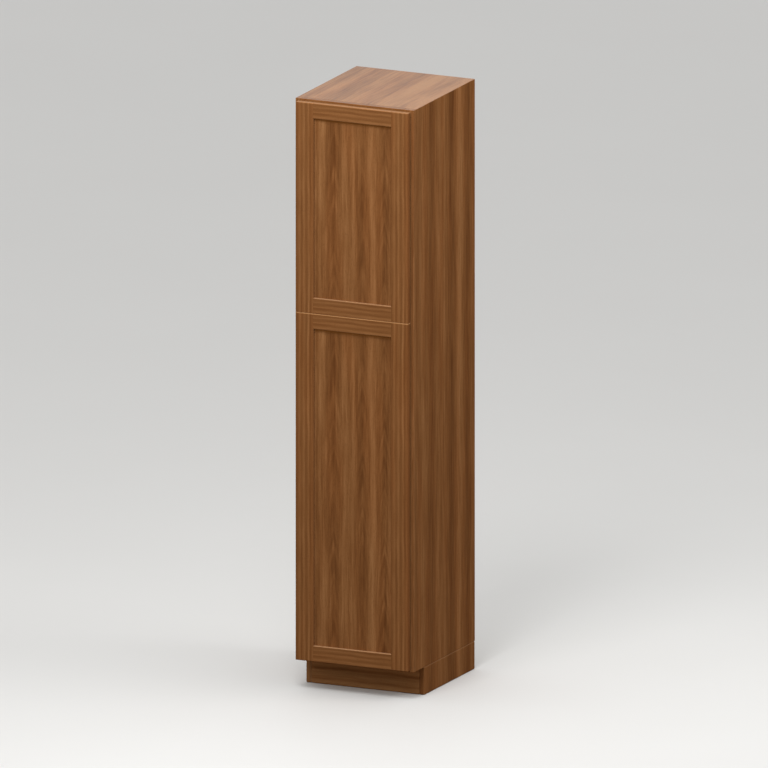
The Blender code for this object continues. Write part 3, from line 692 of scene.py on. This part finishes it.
def screw_heads(places, axes, hardware):
    """Points and faces of round screw heads at some places, on two axes across them and one along them.

    At radius R s and turn t a head rises H (1 - F s^2) - D c, where F is its drop and c is 1 in the arms of
    the cross and 0 outside. Its rim falls to a seat a little under the place, which closes it.
    """
    share = np.linspace(1.0 / HEAD_RINGS, 1.0, HEAD_RINGS)[:, None]
    turn = np.linspace(0.0, 2.0 * math.pi, HEAD_COLUMNS, endpoint=False)[None, :]
    first = hardware.head_radius * share * np.cos(turn)
    second = hardware.head_radius * share * np.sin(turn)
    cross = np.maximum(within(first, hardware.cross_width) * within(second, hardware.cross_reach),
                       within(second, hardware.cross_width) * within(first, hardware.cross_reach))
    rise = hardware.head_height * (1.0 - HEAD_DROP * share ** 2) - hardware.cross_depth * cross
    foot = np.stack([first[-1], second[-1], np.full(HEAD_COLUMNS, -HEAD_SUNK)], axis=-1)
    rings = np.concatenate([np.stack([first, second, rise], axis=-1), foot[None]])
    crown = (0.0, 0.0, hardware.head_height - hardware.cross_depth)
    head = np.vstack([[crown], rings.reshape(-1, 3), [(0.0, 0.0, -HEAD_SUNK)]])
    number = 1 + np.arange(rings.shape[0] * HEAD_COLUMNS).reshape(-1, HEAD_COLUMNS)
    after = np.roll(number, -1, axis=1)
    cap = np.stack([np.zeros_like(number[0]), number[0], after[0]], axis=-1)
    walls = np.stack([number[:-1], number[1:], after[1:], after[:-1]], axis=-1).reshape(-1, 4)
    seat = np.stack([np.full_like(number[0], len(head) - 1), after[-1], number[-1]], axis=-1)
    points = np.asarray(places)[:, None, :] + head @ np.asarray(axes)
    offsets = len(head) * np.arange(len(places))[:, None, None]
    faces = [(offsets + part).reshape(-1, part.shape[1]).tolist() for part in (cap, walls, seat)]
    return points.reshape(-1, 3), faces[0] + faces[1] + faces[2]


class LinenStainDoors(bpy.types.Operator):
    """Stain both doors, with upright grain on their stiles and panels and level grain on their rails."""

    bl_idname = "linen.stain_doors"
    bl_label = "Stain Doors"

    def execute(self, context):
        stain = context.scene.linen_stain
        for door in DOORS:
            for side in SIDES:
                self.stain_stile(door, side, stain)
            # Painted highlights on the top rail's top edge and on the bottom rail's ledge
            self.stain_rail(f"{door}_top_rail", stain, stain.top_highlight, TOP_HIGHLIGHT_PAINT[door])
            self.stain_rail(f"{door}_bottom_rail", stain, stain.painted_light, LEDGE_HIGHLIGHT_PAINT[door])
            self.stain_panel(door, stain)
        return {"FINISHED"}

    def stain_stile(self, door, side, stain):
        """A stile with a painted top highlight; the left one has painted light on its shaded inner edge."""
        node = f"{door}_{side}_stile"
        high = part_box(node)[1]
        # Painted highlight along the stile's top edge
        edges = [Edge("Z", high.z, stain.paint_reach, stain.top_highlight, TOP_HIGHLIGHT_PAINT[door])]
        if side == "left":
            # Painted light that lifts the shade on the left stile's inner edge
            edges.append(Edge("X", high.x, stain.paint_reach, stain.light, STILE_PAINTED_LIGHT))
        stain_board(node, DOOR_STILE, edges)

    def stain_rail(self, node, stain, tint, strength):
        """A rail with a painted highlight along its upper edge."""
        stain_board(node, DOOR_RAIL, [Edge("Z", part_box(node)[1].z, stain.paint_reach, tint, strength)])

    def stain_panel(self, door, stain):
        """A panel with painted warm shade under the top rail and painted light beside the left stile."""
        node = f"{door}_panel"
        under_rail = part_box(f"{door}_top_rail")[0].z - 0.5 * stain.corner_paint_width
        beside_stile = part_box(f"{door}_left_stile")[1].x
        # Painted warm shade under the top rail, and painted light that lifts the shade beside the left stile
        edges = (Edge("Z", under_rail, stain.corner_paint_width, stain.corner, RAIL_SHADE_PAINT),
                 Edge("X", beside_stile, 0.5 * stain.corner_paint_width, stain.light, PANEL_PAINTED_LIGHT))
        stain_board(node, DOOR_PANEL, edges, (0.0, 0.0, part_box(node)[1].z))


class LinenStainFrame(bpy.types.Operator):
    """Stain the stiles and rails of the face frame."""

    bl_idname = "linen.stain_frame"
    bl_label = "Stain Face Frame"

    def execute(self, context):
        stain = context.scene.linen_stain
        for level in ("top", "mid", "bottom"):
            stain_board(f"frame_{level}_rail", PLAIN_RAIL)
        for side in SIDES:
            node = f"frame_{side}_stile"
            beside_door = outer_face(f"upper_door_{side}_stile")
            # Painted light at the frame's outer edge, and painted light that lifts the shade beside the
            # doors
            edges = (Edge("X", outer_face(node), stain.paint_reach, stain.light, FRAME_PAINTED_LIGHT),
                     Edge("X", beside_door, stain.paint_reach, stain.light, REVEAL_PAINTED_LIGHT))
            stain_board(node, PLAIN_STILE, edges)
        return {"FINISHED"}


class LinenStainBox(bpy.types.Operator):
    """Stain the end panels and the top."""

    bl_idname = "linen.stain_box"
    bl_label = "Stain Ends and Top"

    def execute(self, context):
        for side in SIDES:
            self.stain_end_panel(f"{side}_end_panel", context.scene.linen_laminate)
        stain_board("top_panel", TOP_PANEL)
        return {"FINISHED"}

    def stain_end_panel(self, node, pale):
        """An end panel: stained outside, laminate on its inner side and the bare core at its rear edge."""
        low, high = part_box(node)
        inner, outer = sorted((abs(low.x), abs(high.x)))
        finish, shade = stained_wood(node, END_PANEL, CABINET_ORIGIN)
        x, y = finish.axes("XY")
        inside = abs(x) < inner + pale.skin
        raw = (y > high.y - pale.raw_depth) * (abs(x) < outer - pale.skin)
        shade = finish.mix(raw, shade, pale.core)
        finish.set(Base_Color=finish.mix(inside, shade, laminate(finish, END_PANEL.grain)))
        dress(node, finish)


class LinenStainBase(bpy.types.Operator):
    """Stain the boards of the recessed base."""

    bl_idname = "linen.stain_base"
    bl_label = "Stain Base"

    def execute(self, context):
        stain = context.scene.linen_stain
        for side in SIDES:
            self.stain_side(side, stain)
        kick = "toe_kick_board"
        # Painted light that lifts the shade at the kick's left end
        left_end = Edge("X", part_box(kick)[0].x, stain.paint_reach, stain.light, KICK_PAINTED_LIGHT)
        stain_board(kick, TOE_KICK, [left_end])
        stain_board("base_rear_rail", PLAIN_RAIL)
        return {"FINISHED"}

    def stain_side(self, side, stain):
        """Base side: painted highlight on its top edge; the left one has painted light at its front too."""
        node = f"base_{side}_side"
        low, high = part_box(node)
        # Painted highlight along the base's top edge
        edges = [Edge("Z", high.z, stain.paint_reach, stain.painted_light, BASE_TOP_HIGHLIGHT_PAINT)]
        if side == "left":
            # The left side gets painted light that lifts the shade across its front and beside the toe kick
            middle = 0.5 * (low.x + high.x)
            edges.append(Edge("X", middle, high.x - middle, stain.light, BASE_FRONT_PAINTED_LIGHT))
            edges.append(Edge("X", high.x, stain.paint_reach, stain.painted_light, BASE_CORNER_PAINTED_LIGHT))
        stain_board(node, END_PANEL, edges, CABINET_ORIGIN)


class LinenLayLaminate(bpy.types.Operator):
    """Give the shelves, deck and hanging rail their pale laminate."""

    bl_idname = "linen.lay_laminate"
    bl_label = "Lay Laminate"

    def execute(self, context):
        finish = laminated("laminate_shelves", LEVEL)
        for node in ("bottom_panel", "center_shelf", "hanging_rail", *LOOSE_SHELVES):
            dress(node, finish)
        return {"FINISHED"}


class LinenFaceBack(bpy.types.Operator):
    """Lay laminate on the inner face of the back, and leave its rear face raw, stapled near its sides."""

    bl_idname = "linen.face_back"
    bl_label = "Face Back"

    def execute(self, context):
        node = "back_panel"
        pale = context.scene.linen_laminate
        finish = Finish("laminate_back")
        place = finish.axes("XYZ")
        x, y, z = place
        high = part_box(node)[1]
        rear = y > high.y - pale.skin
        shade = finish.mix(rear, laminate(finish, UPRIGHT), self.raw_board(finish, place, pale))
        row = abs(abs(x) - (high.x - pale.staple_inset)) < 0.5 * pale.staple_width
        crown = z.zigzag(0.5 * pale.staple_pitch) < 0.5 * pale.staple_length
        staple = rear * row * crown
        finish.set(Base_Color=finish.mix(staple, shade, context.scene.linen_hardware.plate), Metallic=staple,
                   Roughness=pale.roughness - STAPLE_SHINE * staple)
        dress(node, finish)
        return {"FINISHED"}

    def raw_board(self, finish, place, pale):
        """Shade of raw pressed board: clouds and small flakes of noise over the core's colour."""
        clouds = finish.noise(place, pale.cloud_spots, detail=4.0).step(*CLOUD_LEVELS)
        flakes = finish.noise(place, pale.flake_spots, detail=3.0).step(*FLAKE_LEVELS)
        raw = finish.mix(RAW_CLOUDS * clouds, pale.core, pale.cloud)
        return finish.mix(RAW_FLAKES * flakes, raw, pale.flake)


class LinenBandShelves(bpy.types.Operator):
    """Lay a thin band along the front edge of each loose shelf."""

    bl_idname = "linen.band_shelves"
    bl_label = "Band Shelves"

    def execute(self, context):
        finish = laminated("edge_band", LEVEL)
        for node in LOOSE_SHELVES:
            low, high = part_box(node)
            points, faces = edge_band(low, high, context.scene.linen_laminate.band)
            add_piece(f"{node}_edge_band", points, faces, "carcass", finish)
        return {"FINISHED"}


class LinenPlateHardware(bpy.types.Operator):
    """Plate the hinges and shelf pins."""

    bl_idname = "linen.plate_hardware"
    bl_label = "Plate Hardware"

    def execute(self, context):
        metal = nickel_plate("nickel_plate")
        for node in nodes_with("_hinge_", "_pin_"):
            dress(node, metal)
        return {"FINISHED"}


class LinenMouldBumpers(bpy.types.Operator):
    """Give the bumpers of the doors their clear plastic."""

    bl_idname = "linen.mould_bumpers"
    bl_label = "Mould Bumpers"

    def execute(self, context):
        hardware = context.scene.linen_hardware
        soft = Finish("clear_bumper")
        cloud = soft.noise(soft.axes("XYZ"), hardware.bumper_spots, detail=2.0)
        soft.set(Base_Color=soft.mix(cloud, hardware.clear, hardware.cloudy),
                 Roughness=hardware.bumper_roughness + BUMPER_CLOUD_DULLNESS * cloud)
        for node in nodes_with("_bumper_"):
            dress(node, soft)
        return {"FINISHED"}


class LinenDriveScrews(bpy.types.Operator):
    """Drive two screws through the flange of each hinge cup and two through each mounting plate."""

    bl_idname = "linen.drive_screws"
    bl_label = "Drive Screws"

    def execute(self, context):
        hardware = context.scene.linen_hardware
        metal = nickel_plate("screw_plate")
        plates = []
        for door in DOORS:
            ears = []
            for node in nodes_with(f"{door}_hinge_cup"):
                low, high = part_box(node)
                middle = 0.5 * (low + high)
                ears += self.pair(middle.x, high.y, middle.z, hardware.ear_rise)
            for node in nodes_with(f"{door}_hinge_arm"):
                low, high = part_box(node)
                face = high.x - hardware.arm_step
                depth = high.y - hardware.plate_inset
                plates += self.pair(face, depth, 0.5 * (low.z + high.z), hardware.plate_rise)
            points, faces = screw_heads(ears, CUP_SCREW_AXES, hardware)
            add_piece(f"{door}_hinge_screws", points, faces, door, metal)
        points, faces = screw_heads(plates, PLATE_SCREW_AXES, hardware)
        add_piece("hinge_plate_screws", points, faces, "carcass", metal)
        return {"FINISHED"}

    def pair(self, x, y, z, rise):
        """Places of two screws, one below and one above a point."""
        return [(x, y, z - rise), (x, y, z + rise)]


class LinenSetStage(bpy.types.Operator):
    """Lay the pale floor, light it softly and set up the camera."""

    bl_idname = "linen.set_stage"
    bl_label = "Set Stage"

    def execute(self, context):
        stage = context.scene.linen_stage
        self.lay_floor(context, stage)
        self.light_room(context, stage)
        for name, watts, place in (("key_light", stage.key, stage.key_place),
                                   ("front_light", stage.front, stage.front_place),
                                   ("side_light", stage.side, stage.side_place)):
            self.hang_lamp(context, stage, name, watts, place)
        self.place_camera(context, stage)
        context.scene.view_settings.view_transform = "Standard"
        return {"FINISHED"}

    def lay_floor(self, context, stage):
        """A round floor at height 0: rings whose radius grows with the square of their number."""
        turn = np.linspace(0.0, 2.0 * math.pi, FLOOR_COLUMNS, endpoint=False)
        reach = stage.floor_radius * np.linspace(1.0 / FLOOR_RINGS, 1.0, FLOOR_RINGS) ** 2
        rings = np.stack([np.outer(reach, np.cos(turn)), np.outer(reach, np.sin(turn)),
                          np.zeros((FLOOR_RINGS, FLOOR_COLUMNS))], axis=-1)
        number = np.arange(FLOOR_RINGS * FLOOR_COLUMNS).reshape(FLOOR_RINGS, FLOOR_COLUMNS)
        after = np.roll(number, -1, axis=1)
        quads = np.stack([number[:-1], number[1:], after[1:], after[:-1]], axis=-1).reshape(-1, 4)
        mesh = bpy.data.meshes.new("studio_floor")
        mesh.from_pydata(rings.reshape(-1, 3), [], quads.tolist() + [number[0].tolist()])
        mesh.materials.append(self.floor_finish(stage).material)
        floor = bpy.data.objects.new("studio_floor", mesh)
        context.scene.collection.objects.link(floor)

    def floor_finish(self, stage):
        """Pale and a little cloudy where it is seen, and darker where it throws light back."""
        finish = Finish("studio_floor")
        cloud = finish.noise(finish.axes("XYZ"), stage.cloud_spots, detail=3.0)
        pale = finish.mix(stage.clouds * cloud, stage.floor, stage.floor_cloud)
        finish.set(Base_Color=finish.mix(finish.seen(), stage.bounce, pale), Roughness=stage.floor_roughness,
                   Specular_IOR_Level=stage.floor_specular)
        return finish

    def light_room(self, context, stage):
        """Soft light from all round, stronger from above. What is seen of the room is its pale backdrop."""
        world = bpy.data.worlds.new("studio")
        context.scene.world = world
        world.use_nodes = True
        room = Nodes(world.node_tree)
        direction = room.add("ShaderNodeTexCoord").output("Generated")
        height = room.add("ShaderNodeSeparateXYZ", sockets={"Vector": direction}).output("Z")
        light = room.mix(height.step(*SKY_LEVELS), stage.horizon, stage.zenith)
        room.feed(world.node_tree.nodes["Background"].inputs["Color"],
                  room.mix(room.seen(), light, stage.backdrop))

    def hang_lamp(self, context, stage, name, watts, place):
        """A large round lamp that points at the middle of the cabinet."""
        lamp = bpy.data.lights.new(name, "AREA")
        lamp.shape = "DISK"
        lamp.energy = watts
        lamp.size = stage.lamp_size
        holder = bpy.data.objects.new(name, lamp)
        holder.location = place
        holder.rotation_euler = (place - stage.lamp_aim).to_track_quat("Z", "Y").to_euler()
        holder.visible_camera = False
        context.scene.collection.objects.link(holder)

    def place_camera(self, context, stage):
        """A camera without perspective, turned to the picture's angle."""
        flat = math.cos(stage.elevation)
        back = Vector((math.sin(stage.azimuth) * flat, -math.cos(stage.azimuth) * flat,
                       math.sin(stage.elevation)))
        lens = bpy.data.cameras.new("camera")
        lens.type = "ORTHO"
        lens.ortho_scale = stage.view_height
        camera = bpy.data.objects.new("camera", lens)
        camera.location = stage.view_aim + stage.distance * back
        camera.rotation_euler = back.to_track_quat("Z", "Y").to_euler()
        context.scene.collection.objects.link(camera)
        context.scene.camera = camera


class LinenCabinetPanel(bpy.types.Panel):
    """Lists the steps that finish the cabinet."""

    bl_idname = "VIEW3D_PT_linen_cabinet"
    bl_label = "Linen Cabinet"
    bl_space_type = "VIEW_3D"
    bl_region_type = "UI"
    bl_category = "Linen Cabinet"

    def draw(self, context):
        for step in STEPS:
            self.layout.operator(step.bl_idname)


SETTINGS = {
    "linen_stain": LinenStainSettings,
    "linen_laminate": LinenLaminateSettings,
    "linen_hardware": LinenHardwareSettings,
    "linen_stage": LinenStageSettings,
}
STEPS = (
    LinenStainDoors,
    LinenStainFrame,
    LinenStainBox,
    LinenStainBase,
    LinenLayLaminate,
    LinenFaceBack,
    LinenBandShelves,
    LinenPlateHardware,
    LinenMouldBumpers,
    LinenDriveScrews,
    LinenSetStage,
)
CLASSES = (*SETTINGS.values(), *STEPS, LinenCabinetPanel)


def register():
    """Register the classes and hang their settings on the scene."""
    for each in CLASSES:
        bpy.utils.register_class(each)
    for name, group in SETTINGS.items():
        setattr(bpy.types.Scene, name, PointerProperty(type=group))


def unregister():
    """Take the settings and the classes away again."""
    for name in SETTINGS:
        delattr(bpy.types.Scene, name)
    for each in reversed(CLASSES):
        bpy.utils.unregister_class(each)


def main():
    """Finish the cabinet and set the stage."""
    register()
    bpy.ops.linen.stain_doors()
    bpy.ops.linen.stain_frame()
    bpy.ops.linen.stain_box()
    bpy.ops.linen.stain_base()
    bpy.ops.linen.lay_laminate()
    bpy.ops.linen.face_back()
    bpy.ops.linen.band_shelves()
    bpy.ops.linen.plate_hardware()
    bpy.ops.linen.mould_bumpers()
    bpy.ops.linen.drive_screws()
    bpy.ops.linen.set_stage()


if __name__ == "__main__":
    main()
